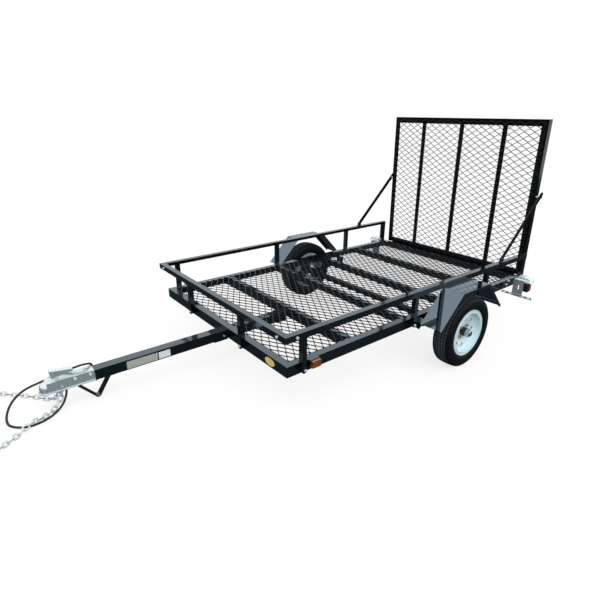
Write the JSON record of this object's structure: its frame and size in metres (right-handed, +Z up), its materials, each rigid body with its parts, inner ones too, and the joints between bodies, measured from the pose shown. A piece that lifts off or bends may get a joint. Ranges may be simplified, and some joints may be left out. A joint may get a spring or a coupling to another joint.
{
  "type": "utility trailer",
  "caption": "Single-axle utility trailer with an open mesh deck, angle-iron rail, upright mesh ramp gate, flat-panel fenders, ball coupler on a square tongue and a bent parking foot.",
  "frame": {"origin": "on the floor, at the bottom centre of the trailer's box as it is parked, without its free cable", "axes": "+X along the trailer towards the coupler, +Y to its left, +Z up; it stands nose down on its foot"},
  "size_m": [4.1066, 1.935, 1.7687],
  "materials": {
    "slate_paint": "gloss black paint",
    "mesh_paint": "black paint on expanded mesh",
    "zinc": "bright zinc plate",
    "axle_paint": "dull dark paint",
    "wheel_white": "gloss white paint",
    "hub_steel": "bright grease cap and flange",
    "tyre_rubber": "matt black rubber",
    "amber_lens": "clear amber",
    "red_lens": "clear red",
    "black_plastic": "black",
    "cable_black": "black sheath"
  },
  "bodies": {
    "root": {"frame_left": "slate_paint", "frame_right": "slate_paint", "frame_front": "slate_paint", "frame_rear": "slate_paint", "crossmembers": "slate_paint", "deck_mesh": "mesh_paint", "tongue": "slate_paint", "tongue_brackets": "slate_paint", "coupler": "zinc", "coupler_latch": "zinc", "foot": "slate_paint", "chain_left": "zinc", "chain_right": "zinc", "chain_bolt": "zinc", "harness_cable": "cable_black", "harness_plug": "black_plastic", "rail_left": "slate_paint", "rail_right": "slate_paint", "rail_front": "slate_paint", "rail_posts": "slate_paint", "fender_left": "slate_paint", "fender_right": "slate_paint", "fender_brackets": "slate_paint", "axle": "axle_paint", "leaf_springs": "axle_paint", "spring_hangers": "slate_paint", "axle_clamps": "zinc", "marker_bases": "black_plastic", "marker_lenses": "amber_lens", "lamp_lenses": "red_lens", "lamp_bodies": "black_plastic", "lamp_brackets": "zinc", "plate_bracket": "black_plastic", "strut_brackets": "zinc", "hinge_tubes": "slate_paint"},
    "wheel_left": {"tyre_left": "tyre_rubber", "rim_left": "wheel_white", "hub_left": "hub_steel"},
    "wheel_right": {"tyre_right": "tyre_rubber", "rim_right": "wheel_white", "hub_right": "hub_steel"},
    "gate": {"gate_stiles": "slate_paint", "gate_top": "slate_paint", "gate_bottom": "slate_paint", "gate_bars": "slate_paint", "gate_mesh": "mesh_paint", "strut_studs": "zinc"},
    "strut_left": {"strut_left": "slate_paint"},
    "strut_right": {"strut_right": "slate_paint"}
  },
  "joints": [
    {"name": "wheel_left_spin", "type": "hinge", "parent": "root", "child": "wheel_left", "pos_m": [-0.94229, 0.8895, 0.264], "axis": [0, 1, 0], "continuous": true},
    {"name": "wheel_right_spin", "type": "hinge", "parent": "root", "child": "wheel_right", "pos_m": [-0.94229, -0.8895, 0.264], "axis": [0, 1, 0], "continuous": true},
    {"name": "gate_hinge", "type": "hinge", "parent": "root", "child": "gate", "pos_m": [-1.97522, 0, 0.47947], "axis": [0, -1, 0], "range_deg": [0, 114.2]},
    {"name": "strut_left_pivot", "type": "hinge", "parent": "root", "child": "strut_left", "pos_m": [-1.5381, 0.78, 0.70978], "axis": [0, 1, 0], "range_deg": [0, 130]},
    {"name": "strut_right_pivot", "type": "hinge", "parent": "root", "child": "strut_right", "pos_m": [-1.5381, -0.78, 0.70978], "axis": [0, 1, 0], "range_deg": [0, 130]}
  ]
}
